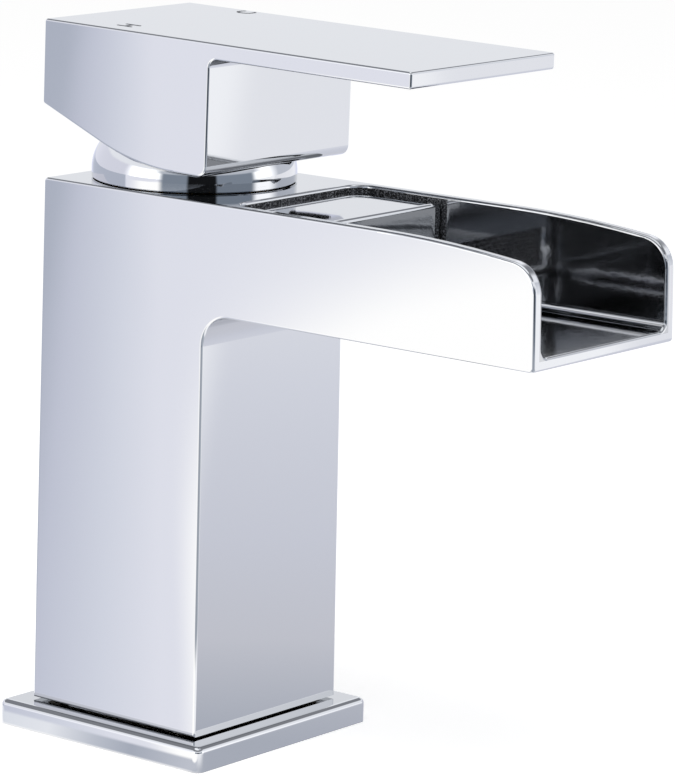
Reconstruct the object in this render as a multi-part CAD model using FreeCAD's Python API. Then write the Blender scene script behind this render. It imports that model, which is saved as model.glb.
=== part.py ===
import FreeCAD
import Part
import math
import os

# Waterfall basin faucet: a square column mixer tap with an open trough spout,
# a single lever on top and a 35 mm ceramic disc cartridge inside.
# Millimetres. +Z is up, the spout points along -Y, and the origin is the centre
# of the base plate's underside, where the tap stands on the basin.

Vec = FreeCAD.Vector

# ---------------------------------------------------------------------------
# Driving dimensions
# ---------------------------------------------------------------------------

# Base plate and gaskets
base_plate_margin = 4.8
base_plate_thick = 5.2
base_corner_round = 1.6
base_edge_round = 1.3
deck_gasket_land = 1.8
deck_gasket_thick = 2.2
deck_gasket_margin = 1.9
foot_gasket_thick = 0.4
foot_gasket_inset = 0.9

# Body casting: column
column_foot_width = 45.0
column_foot_depth = 44.4
body_top = 115.0
side_draft = 0.26
front_draft = 0.36
spout_flare = 0.53
foot_wall = 4.0
foot_cavity_top = 46.0
foot_cavity_round = 4.0
foot_skirt_wall = 1.5
foot_skirt_drop = 4.2
skirt_gap = 0.1
body_edge_round = 0.5
body_corner_round = 0.8

# Body casting: spout
spout_reach = 103.5
spout_height = 22.5
spout_wall = 2.45
spout_floor = 2.5
under_spout_round = 6.5
outlet_rake = 0.5
crown_length = 22.0
crown_drop_angle = 6.5
crown_nose_round = 6.2
trough_rear = 27.0
trough_rear_round = 4.0
trough_floor_round = 2.0
rim_round = 0.6

# Waterways and foot threads
supply_spacing = 16.0
supply_forward = 4.4
supply_bore = 6.0
hose_spacing = 16.0
hose_forward = 8.4
inlet_thread_bore = 9.0
inlet_thread_length = 12.0
stud_thread_bore = 6.8
stud_thread_length = 12.0
stud_back = 9.0
bush_drop = 13.0
inlet_bush_diameter = 12.4
stud_bush_diameter = 11.0
bush_chamfer = 0.6
spigot_diameter = 8.0
spigot_length = 4.0
spigot_fit = 0.02
outlet_bore = 6.0
outlet_mouth_height = 5.0
outlet_slope = 27.8

# Spout insert and screen
insert_drop = 2.6
insert_length = 18.5
insert_gap = 0.3
insert_wall = 1.5
insert_roof = 2.0
insert_edge_round = 0.4
screen_side_gap = 0.3
screen_window_height = 8.2
screen_sill = 1.2
screen_thick = 0.4
screen_lap = 0.9
screen_pitch = 2.6
screen_hole = 1.9
snap_lug_bore = 3.0
snap_lug_reach = 0.8

# Cartridge
chamber_depth = 17.0
cartridge_clearance = 0.3
cartridge_base_thick = 3.5
locating_pin_diameter = 2.8
locating_pin_length = 2.4
locating_pin_spacing = 23.0
locating_pin_back = 6.0
seal_cord = 1.2
port_seal_lip = 0.7
fixed_disc_diameter = 27.2
fixed_disc_thick = 2.5
disc_film = 0.05
moving_disc_step = 2.2
moving_disc_thick = 2.6
inlet_port = 5.2
inlet_port_spacing = 12.0
outlet_port = 6.4
outlet_port_back = 5.0
mixing_pocket_width = 16.0
mixing_pocket_length = 10.0
mixing_pocket_depth = 1.4
disc_key_width = 3.0
disc_key_depth = 1.2
carrier_diameter = 22.0
carrier_height = 5.6
carrier_floor = 0.7
carrier_flat_width = 14.0
disc_side_gap = 1.2
housing_wall = 2.5
housing_roof = 1.8
neck_wall = 2.0
neck_height = 5.2
neck_bore = 23.2
running_clearance = 0.07
small_chamfer = 0.25
moving_clearance = 0.35
holder_flange = 2.0
stop_ring_height = 1.4
stop_ring_wall = 1.4
stop_lug_reach = 1.6
stop_tab_angle = 24.0
swivel_half_range = 45.0
stop_spare_angle = 3.0

# Lever stem and pivot
lever_arm = 8.0
lever_ball = 4.4
lever_neck = 3.6
lever_lean = 12.5
stem_side = 8.0
stem_boss = 8.8
stem_length = 24.5
pivot_pin_diameter = 3.0
pivot_pin_length = 21.6

# Retaining nut and dome cover
nut_wall = 1.6
nut_thread_length = 7.7
nut_thread_clearance = 0.1
nut_collar_step = 0.3
nut_flange = 2.2
nut_hex_flats = 30.0
nut_hex_height = 2.1
dome_fit = 0.4
dome_rim_height = 1.85
dome_shoulder_round = 9.0
dome_wall = 1.4
dome_hole = 19.2
dome_foot_gap = 0.15
dome_ring_cord = 1.4

# Handle
handle_rear = 21.8
handle_blade_reach = 72.3
handle_side_step = 1.58
handle_flare = 0.475
handle_top_above_body = 32.15
handle_blade_thick = 3.35
handle_front_step = 1.0
handle_bottom_gap = 5.25
handle_rear_lift = 9.75
handle_rear_slope = 21.2
handle_belly_round = 55.0
handle_chin_round = 2.2
handle_inner_round = 1.8
handle_edge_round = 0.45
handle_corner_round = 0.55
handle_droop = 0.8
handle_front_wall = 1.15
handle_side_wall = 1.5
handle_rear_wall = 1.8
handle_roof = 2.6
handle_cavity_round = 3.0
hub_side = 13.0
hub_start = 11.3
hub_rib = 2.0
hub_rib_start = 15.5
socket_clearance = 0.06
screw_height = 17.0
screw_diameter = 5.0
screw_length = 8.0
screw_hex = 2.5
screw_hex_depth = 2.5
screw_boss_diameter = 9.0
plug_diameter = 6.0
plug_length = 3.0

# ---------------------------------------------------------------------------
# Sizes that follow from them
# ---------------------------------------------------------------------------

base_plate_side = column_foot_width + 2.0 * base_plate_margin
housing_bore = fixed_disc_diameter + 2.0 * disc_side_gap
moving_disc_diameter = fixed_disc_diameter - moving_disc_step
cartridge_diameter = housing_bore + 2.0 * housing_wall
neck_diameter = neck_bore + 2.0 * neck_wall
nut_thread_diameter = cartridge_diameter + 2.0 * nut_wall
nut_collar_diameter = nut_thread_diameter + 2.0 * nut_collar_step
dome_diameter = nut_collar_diameter + 2.0 * (dome_fit + dome_wall)
handle_width = dome_diameter + 2.0 * handle_side_step
handle_block_front = dome_diameter / 2.0 + handle_front_step

column_foot_z = base_plate_thick + foot_gasket_thick
spout_underside = body_top - spout_height
trough_floor_z = spout_underside + spout_floor
insert_top = body_top - insert_drop
insert_front = trough_rear + insert_gap + insert_length

chamber_floor_z = body_top - chamber_depth
fixed_disc_z = chamber_floor_z + cartridge_base_thick
moving_disc_z = fixed_disc_z + fixed_disc_thick + disc_film
carrier_z = moving_disc_z + moving_disc_thick
carrier_top = carrier_z + carrier_height

# The lever leans forward when the tap is shut and backward when it is open, by
# the same angle, so its ball swings evenly about the cartridge's middle.
lean = math.radians(lever_lean)
ball_dip = lever_arm * (1.0 - math.cos(lean))
ball_z = carrier_z + carrier_floor + moving_clearance + ball_dip + lever_ball / 2.0
pivot_z = ball_z + lever_arm * math.cos(lean)
disc_travel = 2.0 * lever_arm * math.sin(lean)

holder_z = carrier_top + moving_clearance
housing_ceiling_z = holder_z + holder_flange + moving_clearance
shoulder_z = housing_ceiling_z + housing_roof
neck_top = shoulder_z + neck_height
nut_top = shoulder_z + nut_flange + nut_hex_height
dome_foot_z = body_top + dome_foot_gap
dome_shoulder_z = dome_foot_z + dome_rim_height
dome_top = dome_shoulder_z + dome_shoulder_round
chamber_radius = cartridge_diameter / 2.0 + cartridge_clearance
thread_radius = nut_thread_diameter / 2.0 + nut_thread_clearance
thread_floor_z = body_top - nut_thread_length
ring_z = dome_shoulder_z - dome_ring_cord / 2.0 - 0.05
dome_bore_radius = dome_diameter / 2.0 - dome_wall
dome_ring_radius = dome_bore_radius - dome_ring_cord / 2.0 - 0.03

handle_top = body_top + handle_top_above_body
handle_bottom = body_top + handle_bottom_gap

side_slope = math.tan(math.radians(side_draft))
face_slope = math.tan(math.radians(front_draft))
flare_slope = math.tan(math.radians(spout_flare))

everything = 400.0


# ---------------------------------------------------------------------------
# Helpers
# ---------------------------------------------------------------------------

def side_view(y, z):
    """Place a drawing point in the plane seen from the side."""
    return Vec(0, y, z)


def top_view(x, y):
    """Place a drawing point in the plane seen from above."""
    return Vec(x, y, 0)


def half_section(r, z):
    """Place a drawing point in the half plane that is spun about the Z axis."""
    return Vec(r, 0, z)


def rounded_outline(corners, place):
    """Close an outline of (a, b, radius) corners: an arc at a radius above zero, a
    straight cut of that size at one below zero, and a sharp corner at zero."""
    count = len(corners)
    bends = []
    for i in range(count):
        point = place(corners[i][0], corners[i][1])
        radius = corners[i][2]
        back = place(corners[i - 1][0], corners[i - 1][1]).sub(point)
        ahead = place(corners[(i + 1) % count][0], corners[(i + 1) % count][1]).sub(point)
        back.normalize()
        ahead.normalize()
        half_angle = back.getAngle(ahead) / 2.0
        if radius == 0:
            bends.append((point, None, point))
            continue
        if radius < 0:
            bends.append((point.sub(back * radius), None, point.sub(ahead * radius)))
            continue
        tangent = radius / math.tan(half_angle)
        inward = back.add(ahead)
        inward.normalize()
        sagitta = radius / math.sin(half_angle) - radius
        start = point.add(back * tangent)
        finish = point.add(ahead * tangent)
        bends.append((start, point.add(inward * sagitta), finish))
    edges = []
    for i in range(count):
        start, middle, finish = bends[i]
        if middle is not None:
            edges.append(Part.Arc(start, middle, finish).toShape())
        elif start.distanceToPoint(finish) > 1e-7:
            edges.append(Part.LineSegment(start, finish).toShape())
        next_start = bends[(i + 1) % count][0]
        if finish.distanceToPoint(next_start) > 1e-7:
            edges.append(Part.LineSegment(finish, next_start).toShape())
    return Part.Wire(edges)


def slab(corners, half_width):
    """Extrude a side-view outline evenly to both sides."""
    face = Part.Face(rounded_outline(corners, side_view))
    solid = face.extrude(Vec(2.0 * half_width, 0, 0))
    solid.translate(Vec(-half_width, 0, 0))
    return solid


def turned(corners):
    """Spin a half section about the Z axis."""
    face = Part.Face(rounded_outline(corners, half_section))
    return face.revolve(Vec(0, 0, 0), Vec(0, 0, 1), 360)


def rod(diameter, low, high, x=0.0, y=0.0):
    """Upright cylinder between two heights."""
    return Part.makeCylinder(diameter / 2.0, high - low, Vec(x, y, low))


def block(x_low, x_high, y_low, y_high, z_low, z_high):
    """Rectangular block between two corners."""
    return Part.makeBox(x_high - x_low, y_high - y_low, z_high - z_low,
                        Vec(x_low, y_low, z_low))


def rounded_prism(width, depth, radius, low, high):
    """Upright block with rounded upright edges, centred on the Z axis."""
    w = width / 2.0
    d = depth / 2.0
    corners = [(-w, -d, radius), (w, -d, radius), (w, d, radius), (-w, d, radius)]
    face = Part.Face(rounded_outline(corners, top_view))
    solid = face.extrude(Vec(0, 0, high - low))
    solid.translate(Vec(0, 0, low))
    return solid


def tapered_block(half_width, y_low, y_high, z_low, z_high):
    """Block whose two sides are flat but follow half_width(y, z)."""
    def corner(side, y, z):
        return Vec(side * half_width(y, z), y, z)

    ring = [(y_low, z_low), (y_high, z_low), (y_high, z_high), (y_low, z_high)]
    faces = []
    for side in (-1, 1):
        points = [corner(side, y, z) for y, z in ring]
        faces.append(Part.Face(Part.makePolygon(points + points[:1])))
    for i in range(4):
        y0, z0 = ring[i]
        y1, z1 = ring[(i + 1) % 4]
        points = [corner(-1, y0, z0), corner(1, y0, z0), corner(1, y1, z1), corner(-1, y1, z1)]
        faces.append(Part.Face(Part.makePolygon(points + points[:1])))
    shell = Part.makeShell(faces)
    shell.sewShape()
    solid = Part.makeSolid(shell)
    if solid.Volume < 0:
        solid.reverse()
    return solid


def edges_where(solid, test):
    """Edges whose two ends and middle all pass a test on their points."""
    chosen = []
    for edge in solid.Edges:
        points = [vertex.Point for vertex in edge.Vertexes]
        points.append(edge.valueAt((edge.FirstParameter + edge.LastParameter) / 2.0))
        if all(test(point) for point in points):
            chosen.append(edge)
    return chosen


def on_surface(shape, point):
    """True where a point lies on a shape, or inside it."""
    return shape.distToShape(Part.Vertex(point))[0] < 1e-4


def rim_edges(solid, cutter, skin):
    """Edges that a cutter left in the skin of a solid."""
    return edges_where(solid, lambda p: on_surface(cutter, p) and on_surface(skin, p))


def round_edges(solid, edges, radius):
    """Fillet the given edges, and hand back one clean solid."""
    return solid.makeFillet(radius, edges)


def whole(shape):
    """The single solid inside a boolean result, with split faces joined."""
    clean = shape.removeSplitter()
    solids = clean.Solids
    return solids[0] if len(solids) == 1 else Part.makeCompound(solids)


def save(name, shape):
    """Write one node."""
    shape.exportStep("parts/" + name + ".step")
    print(name, "solids", len(shape.Solids), "valid", shape.isValid(),
          "cm3", round(shape.Volume / 1000.0, 2))


# ---------------------------------------------------------------------------
# Base plate and the two gaskets
# ---------------------------------------------------------------------------

def foot_inner(inset):
    """Width and depth of the column's foot, drawn in by an inset all round."""
    return column_foot_width - 2.0 * inset, column_foot_depth - 2.0 * inset


def plate_window():
    """Width and depth of the opening that the column's skirt drops into."""
    return foot_inner(foot_wall - foot_skirt_wall - skirt_gap)


def make_base_plate():
    """Square trim plate between the column and the basin."""
    plate = rounded_prism(base_plate_side, base_plate_side, base_corner_round,
                          0.0, base_plate_thick)
    top = edges_where(plate, lambda p: abs(p.z - base_plate_thick) < 1e-6)
    plate = round_edges(plate, top, base_edge_round)
    width, depth = plate_window()
    window = rounded_prism(width, depth, foot_cavity_round + foot_skirt_wall,
                           -1.0, base_plate_thick + 1.0)
    return whole(plate.cut(window).cut(deck_gasket_ring(0.05)))


def deck_gasket_ring(clearance):
    """Square ring that seals the base plate to the basin, or its groove."""
    outer = base_plate_side - 2.0 * (deck_gasket_margin - clearance)
    width, depth = plate_window()
    land = 2.0 * (deck_gasket_land - clearance)
    top = deck_gasket_thick + clearance
    ring = rounded_prism(outer, outer, base_corner_round, 0.0, top)
    return ring.cut(rounded_prism(width + land, depth + land, base_corner_round, -1.0, top + 1.0))


def make_foot_gasket():
    """Thin gasket between the column's foot and the base plate."""
    width, depth = foot_inner(foot_gasket_inset)
    sheet = rounded_prism(width, depth, body_corner_round, base_plate_thick, column_foot_z)
    width, depth = plate_window()
    window = rounded_prism(width, depth, foot_cavity_round + foot_skirt_wall,
                           0.0, column_foot_z + 1.0)
    return whole(sheet.cut(window))


# ---------------------------------------------------------------------------
# Body casting
# ---------------------------------------------------------------------------

def body_half_width(y, z):
    """Half width of the body: drafted upwards, and flared towards the outlet."""
    return column_foot_width / 2.0 - (z - column_foot_z) * side_slope - y * flare_slope


def trough_half_width(y, z):
    """Half width of the open trough inside the spout walls."""
    return body_half_width(y, body_top) - spout_wall


def body_blank():
    """Column and spout as one block, seen from the side, before it is hollowed."""
    lean_in = (body_top - column_foot_z) * face_slope
    foot_y = column_foot_depth / 2.0
    rear_top = foot_y - lean_in
    under_y = foot_y - (spout_underside - column_foot_z) * face_slope
    nose_y = spout_reach - outlet_rake
    crown_y = nose_y - crown_length
    drop = math.radians(crown_drop_angle)
    nose_z = body_top - crown_length * math.tan(drop)
    nose_turn = math.pi / 2.0 - drop
    room = crown_length / math.cos(drop) - crown_nose_round * math.tan(nose_turn / 2.0)
    crown_long_round = 0.95 * room / math.tan(drop / 2.0)
    corners = [
        (foot_y, column_foot_z, 0.0),
        (rear_top, body_top, body_corner_round),
        (-crown_y, body_top, crown_long_round),
        (-nose_y, nose_z, crown_nose_round),
        (-spout_reach, spout_underside, body_corner_round),
        (-under_y, spout_underside, under_spout_round),
        (-foot_y, column_foot_z, 0.0),
    ]
    sides = tapered_block(body_half_width, -everything / 2.0, everything / 2.0, -20.0, everything)
    blank = whole(slab(corners, column_foot_width).common(sides))

    def on_side(point):
        return abs(abs(point.x) - body_half_width(point.y, point.z)) < 1e-4

    return round_edges(blank, edges_where(blank, on_side), body_edge_round)


def trough_cutter():
    """The open channel of the spout, with rounded rear and floor corners."""
    rear = -trough_rear
    cutter = tapered_block(trough_half_width, -spout_reach - 20.0, rear,
                           trough_floor_z, body_top + 20.0)

    def rear_upright(point):
        return abs(point.y - rear) < 1e-4 and abs(point.x) > 1.0

    upright = [edge for edge in edges_where(cutter, rear_upright) if edge.Length > 20.0]
    cutter = round_edges(cutter, upright, trough_rear_round)

    def on_floor(point):
        return abs(point.z - trough_floor_z) < 1e-4 and point.y > -spout_reach - 19.0

    floor = [edge for edge in cutter.Edges
             if all(abs(v.Z - trough_floor_z) < 1e-4 for v in edge.Vertexes)
             and on_floor(edge.valueAt((edge.FirstParameter + edge.LastParameter) / 2.0))]
    return round_edges(cutter, floor, trough_floor_round)


def outlet_drill():
    """Slanted bore from the trough's rear wall down to the cartridge's outlet well."""
    slope = math.radians(outlet_slope)
    direction = Vec(0, math.cos(slope), -math.sin(slope))
    mouth = Vec(0, -trough_rear, trough_floor_z + outlet_mouth_height)
    run = (trough_rear + outlet_port_back) / math.cos(slope)
    start = mouth.sub(direction * 3.0)
    return Part.makeCylinder(outlet_bore / 2.0, run + 3.0, start, direction)


def supply_drill(side):
    """Slanted bore from a foot bush up to an inlet of the cartridge."""
    start = Vec(side * hose_spacing / 2.0, -hose_forward, foot_cavity_top + spigot_length)
    finish = Vec(side * supply_spacing / 2.0, -supply_forward, chamber_floor_z)
    run = finish.sub(start)
    length = run.Length
    run.normalize()
    return Part.makeCylinder(supply_bore / 2.0, length + 2.0, start.sub(run), run)


def make_body():
    """The one-piece brass body: column, spout trough, chamber and waterways."""
    skin = body_blank()
    trough = trough_cutter()
    body = whole(skin.cut(trough))
    body = round_edges(body, rim_edges(body, trough, skin.Shells[0]), rim_round)

    body = body.cut(rod(2.0 * chamber_radius, chamber_floor_z, body_top + 1.0))
    body = body.cut(rod(2.0 * thread_radius, thread_floor_z, body_top + 1.0))

    for side in (-1, 1):
        body = body.cut(supply_drill(side))
        body = body.cut(spigot(side * hose_spacing / 2.0, -hose_forward, spigot_fit))
        x = side * locating_pin_spacing / 2.0
        body = body.cut(rod(locating_pin_diameter + 0.2, chamber_floor_z - locating_pin_length - 0.2,
                            chamber_floor_z + 1.0, x, locating_pin_back))
        body = body.cut(snap_lug(side, 0.1))

    drill = outlet_drill()
    well_foot = drill.BoundBox.ZMin
    body = body.cut(rod(outlet_port, well_foot, chamber_floor_z + 1.0, 0.0, outlet_port_back))
    body = body.cut(drill)

    body = body.cut(spigot(0.0, stud_back, spigot_fit))
    width, depth = foot_inner(foot_wall)
    cavity = rounded_prism(width, depth, foot_cavity_round, -1.0, foot_cavity_top)
    roof = edges_where(cavity, lambda p: abs(p.z - foot_cavity_top) < 1e-6)
    cavity = round_edges(cavity, roof, foot_cavity_round / 2.0)
    skirt_width, skirt_depth = foot_inner(foot_wall - foot_skirt_wall)
    skirt = rounded_prism(skirt_width, skirt_depth, foot_cavity_round + foot_skirt_wall,
                          column_foot_z - foot_skirt_drop, column_foot_z + 1.0)
    return whole(body.fuse(skirt).cut(cavity))


def spigot(x, y, clearance):
    """Upper end of a foot bush, pressed into the cavity's roof, or its hole there."""
    return rod(spigot_diameter + 2.0 * clearance, foot_cavity_top - 1.0,
               foot_cavity_top + spigot_length + 5.0 * clearance, x, y)


def foot_bush(x, y, diameter, thread_bore, thread_length, through_bore):
    """Brass bush that hangs from the cavity's roof, with a thread in its lower end."""
    low = foot_cavity_top - bush_drop
    bush = rod(diameter, low, foot_cavity_top, x, y)
    bush = bush.makeChamfer(bush_chamfer, edges_where(bush, lambda p: abs(p.z - low) < 1e-6))
    bush = bush.fuse(spigot(x, y, 0.0))
    bush = bush.cut(rod(thread_bore, low - 1.0, low + thread_length, x, y))
    if through_bore > 0.0:
        bush = bush.cut(rod(through_bore, low, foot_cavity_top + spigot_length + 1.0, x, y))
    return whole(bush)


def make_inlet_bushes():
    """The two inlet bushes, which take the ends of the supply hoses."""
    sides = (-1, 1)
    return Part.makeCompound([foot_bush(side * hose_spacing / 2.0, -hose_forward,
                                        inlet_bush_diameter, inlet_thread_bore,
                                        inlet_thread_length, supply_bore) for side in sides])


def make_stud_bush():
    """The bush that takes the fixing stud."""
    return foot_bush(0.0, stud_back, stud_bush_diameter, stud_thread_bore, stud_thread_length, 0.0)


# ---------------------------------------------------------------------------
# Spout insert and its screen
# ---------------------------------------------------------------------------

def snap_lug(side, clearance):
    """Small round lug on the insert's cheek, or its pocket in the spout wall."""
    y = -(trough_rear + insert_gap + insert_length / 2.0)
    z = trough_floor_z + (insert_top - trough_floor_z) / 2.0
    x = trough_half_width(y, z) - insert_gap - 0.5
    reach = 0.5 + insert_gap + snap_lug_reach + clearance
    return Part.makeCylinder(snap_lug_bore / 2.0 + clearance, reach,
                             Vec(side * x, y, z), Vec(side, 0, 0))


def window_width():
    """Width of the window: the hood's inside, less the net's laps and side gaps."""
    low = trough_floor_z + insert_gap / 2.0 + screen_sill - screen_lap
    inside = trough_half_width(-insert_front, low) - insert_gap - insert_wall
    return 2.0 * (inside - screen_lap - screen_side_gap)


def make_insert():
    """Chrome hood over the rear of the trough, with a screened window in front."""
    def outer_half(y, z):
        return trough_half_width(y, z) - insert_gap

    def inner_half(y, z):
        return outer_half(y, z) - insert_wall

    rear = -trough_rear - insert_gap
    front = -insert_front
    foot = trough_floor_z + insert_gap / 2.0
    hood = tapered_block(outer_half, front, rear, foot, insert_top)
    rear_uprights = [edge for edge in edges_where(hood, lambda p: abs(p.y - rear) < 1e-4)
                     if abs(edge.Vertexes[0].Z - edge.Vertexes[1].Z) > 1.0]
    hood = round_edges(hood, rear_uprights, trough_rear_round - insert_gap)
    foot_edges = edges_where(hood, lambda p: abs(p.z - foot) < 1e-4 and p.y > front + 1e-3)
    side_foot = [edge for edge in hood.Edges
                 if all(abs(v.Z - foot) < 1e-4 for v in edge.Vertexes)
                 and abs(edge.valueAt(edge.FirstParameter).y
                         - edge.valueAt(edge.LastParameter).y) > 1e-3]
    hood = round_edges(hood, side_foot + foot_edges, trough_floor_round)
    top_edges = edges_where(hood, lambda p: abs(p.z - insert_top) < 1e-4)
    hood = round_edges(hood, top_edges, insert_edge_round)
    hollow = tapered_block(inner_half, front + insert_wall, rear + 5.0,
                           foot - 5.0, insert_top - insert_roof)
    hood = hood.cut(hollow)
    sill = foot + screen_sill
    window = block(-window_width() / 2.0, window_width() / 2.0, front - 1.0,
                   front + insert_wall + 1.0, sill, sill + screen_window_height)
    hood = hood.cut(window)
    for side in (-1, 1):
        hood = hood.fuse(snap_lug(side, 0.0))
    return whole(hood)


def make_screen():
    """Fine net behind the insert's window, which smooths the sheet of water."""
    width = window_width() + 2.0 * screen_lap
    y_front = -insert_front + insert_wall
    low = trough_floor_z + insert_gap / 2.0 + screen_sill - screen_lap
    high = low + screen_window_height + 2.0 * screen_lap
    net = block(-width / 2.0, width / 2.0, y_front, y_front + screen_thick, low, high)
    columns = int(window_width() / screen_pitch)
    rows = int(screen_window_height / screen_pitch)
    middle_z = (low + high) / 2.0
    holes = []
    for column in range(columns):
        x = (column - (columns - 1) / 2.0) * screen_pitch
        for row in range(rows):
            z = middle_z + (row - (rows - 1) / 2.0) * screen_pitch
            half = screen_hole / 2.0
            holes.append(block(x - half, x + half, y_front - 1.0, y_front + screen_thick + 1.0,
                               z - half, z + half))
    return whole(net.cut(Part.makeCompound(holes)))


# ---------------------------------------------------------------------------
# Ceramic cartridge, from the bottom up
# ---------------------------------------------------------------------------

def port_places():
    """Centres and diameters of the cartridge's two inlets and its outlet."""
    return [(-inlet_port_spacing / 2.0, -supply_forward, inlet_port),
            (inlet_port_spacing / 2.0, -supply_forward, inlet_port),
            (0.0, outlet_port_back, outlet_port)]


def port_slot(x, y, diameter, low, high):
    """Port through the base, stretched sideways to meet the body's supply bore."""
    slot = rod(diameter, low, high, x, y)
    if x == 0.0:
        return slot
    side = math.copysign(1.0, x)
    outer_x = side * supply_spacing / 2.0
    slot = slot.fuse(rod(diameter, low, high, outer_x, y))
    ends = sorted([x, outer_x])
    return slot.fuse(block(ends[0], ends[1], y - diameter / 2.0, y + diameter / 2.0, low, high))


def seal_band(x, y, diameter, low, high, clearance):
    """Rubber band round a port, or its groove."""
    lip = port_seal_lip - clearance
    outer = port_slot(x, y, diameter + 2.0 * (lip + seal_cord + 2.0 * clearance), low, high)
    inner = port_slot(x, y, diameter + 2.0 * lip, low - 1.0, high + 1.0)
    return outer.cut(inner)


def make_cartridge_base():
    """Bottom cap of the cartridge, with ports, seal grooves and locating pins."""
    base = rod(cartridge_diameter, chamber_floor_z, fixed_disc_z)
    for x, y, diameter in port_places():
        base = base.cut(port_slot(x, y, diameter, chamber_floor_z - 1.0, fixed_disc_z + 1.0))
        base = base.cut(seal_band(x, y, diameter, chamber_floor_z - 1.0,
                                  chamber_floor_z + seal_cord, 0.02))
    for x, y, diameter in port_places():
        base = base.cut(top_seal(x, y, diameter, 0.02, 1.0))
    for side in (-1, 1):
        x = side * locating_pin_spacing / 2.0
        base = base.fuse(rod(locating_pin_diameter, chamber_floor_z - locating_pin_length,
                             chamber_floor_z + 1.0, x, locating_pin_back))
        base = base.fuse(disc_key(side, 0.0))
    return whole(base)


def top_seal(x, y, diameter, clearance, above):
    """Rubber ring between the base and the fixed disc, or its groove."""
    inner = diameter + 2.0 * (port_seal_lip - clearance)
    outer = inner + 2.0 * (seal_cord + 2.0 * clearance)
    reach = abs(x) * 2.0 + diameter
    low = fixed_disc_z - seal_cord / 1.5
    ring = rod(outer, low, fixed_disc_z + above, x, y)
    ring = ring.cut(rod(inner, low - 1.0, fixed_disc_z + above + 1.0, x, y))
    if reach <= diameter:
        return ring
    return ring.cut(port_slot(x, y, diameter, low - 1.0, fixed_disc_z + above + 1.0))


def make_inlet_seals():
    """Three rubber bands between the cartridge and the chamber floor."""
    bands = [seal_band(x, y, diameter, chamber_floor_z, chamber_floor_z + seal_cord, 0.0)
             for x, y, diameter in port_places()]
    return Part.makeCompound([whole(band) for band in bands])


def make_port_seals():
    """Three rubber rings between the cartridge base and the fixed disc."""
    rings = [top_seal(x, y, diameter, 0.0, 0.0) for x, y, diameter in port_places()]
    return Part.makeCompound([whole(ring) for ring in rings])


def disc_key(side, clearance):
    """Key of the base that stops the fixed disc turning, or its notch in the disc."""
    inner = fixed_disc_diameter / 2.0 - disc_key_depth - clearance
    half = disc_key_width / 2.0 + clearance
    height = fixed_disc_z + fixed_disc_thick * 0.6 + clearance
    ends = sorted([side * inner, side * (fixed_disc_diameter / 2.0 + 0.6)])
    return block(ends[0], ends[1], -half + 1.0, half + 1.0, fixed_disc_z - 0.5, height)


def make_fixed_disc():
    """Lower ceramic disc, with the two inlets and the outlet."""
    disc = rod(fixed_disc_diameter, fixed_disc_z, fixed_disc_z + fixed_disc_thick)
    for x, y, diameter in port_places():
        disc = disc.cut(rod(diameter, fixed_disc_z - 1.0, moving_disc_z, x, y))
    for side in (-1, 1):
        disc = disc.cut(disc_key(side, 0.1))
    return whole(disc)


def shut_offset(shape):
    """Shift a sliding piece back to where it stands while the tap is shut."""
    shape.translate(Vec(0, disc_travel / 2.0, 0))
    return shape


def make_moving_disc():
    """Upper ceramic disc, with the pocket that joins the inlets to the outlet."""
    disc = rod(moving_disc_diameter, moving_disc_z, carrier_z)
    width = mixing_pocket_width / 2.0
    rear = mixing_pocket_length / 2.0 + outlet_port_back / 2.0 - disc_travel / 2.0
    front = rear - mixing_pocket_length
    pocket_round = mixing_pocket_length * 0.32
    corners = [(-width, front, 1.0), (width, front, 1.0),
               (width * 0.75, rear, pocket_round), (-width * 0.75, rear, pocket_round)]
    pocket = Part.Face(rounded_outline(corners, top_view))
    pocket = pocket.extrude(Vec(0, 0, mixing_pocket_depth))
    pocket.translate(Vec(0, 0, moving_disc_z))
    disc = disc.cut(pocket)
    for side in (-1, 1):
        disc = disc.cut(carrier_peg(side, 0.05))
    return shut_offset(whole(disc))


def carrier_peg(side, clearance):
    """Peg of the carrier that drives the moving disc, or its hole in the disc."""
    x = side * (carrier_diameter / 2.0 - 2.2)
    low = carrier_z - moving_disc_thick * 0.4 - clearance
    return rod(2.4 + 2.0 * clearance, low, carrier_z + 1.0, x, 1.0)


def make_carrier():
    """Plastic carrier that the lever's ball pushes to and fro."""
    carrier = rod(carrier_diameter, carrier_z, carrier_top)
    half = carrier_flat_width / 2.0
    step = carrier_z + carrier_height * 0.4
    reach = carrier_diameter
    for side in (-1, 1):
        ends = sorted([side * half, side * reach])
        carrier = carrier.cut(block(ends[0], ends[1], -reach, reach, step, carrier_top + 1.0))
        carrier = carrier.fuse(carrier_peg(side, 0.0))
    socket = rod(lever_ball + 2.0 * running_clearance, carrier_z + carrier_floor, carrier_top + 1.0)
    mouth = Part.makeCone(lever_ball / 2.0 + running_clearance, lever_ball / 2.0 + 1.2, 1.2,
                          Vec(0, 0, carrier_top - 1.2))
    return shut_offset(whole(carrier.cut(socket).cut(mouth)))


def make_housing():
    """Plastic shell of the cartridge, with a shoulder for the nut and a neck."""
    outer = cartridge_diameter / 2.0
    corners = [
        (housing_bore / 2.0, fixed_disc_z, 0.0),
        (outer, fixed_disc_z, 0.0),
        (outer, shoulder_z, -small_chamfer),
        (neck_diameter / 2.0, shoulder_z, 0.0),
        (neck_diameter / 2.0, neck_top, -small_chamfer),
        (neck_bore / 2.0, neck_top, -small_chamfer),
        (neck_bore / 2.0, housing_ceiling_z, 0.0),
        (housing_bore / 2.0, housing_ceiling_z, 0.0),
    ]
    return turned(corners)


def lean_over(shape):
    """Tip an upright shape about the pivot into the lever's shut position."""
    shape.rotate(Vec(0, 0, 0), Vec(1, 0, 0), lever_lean)
    shape.translate(Vec(0, 0, pivot_z))
    return shape


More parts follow.
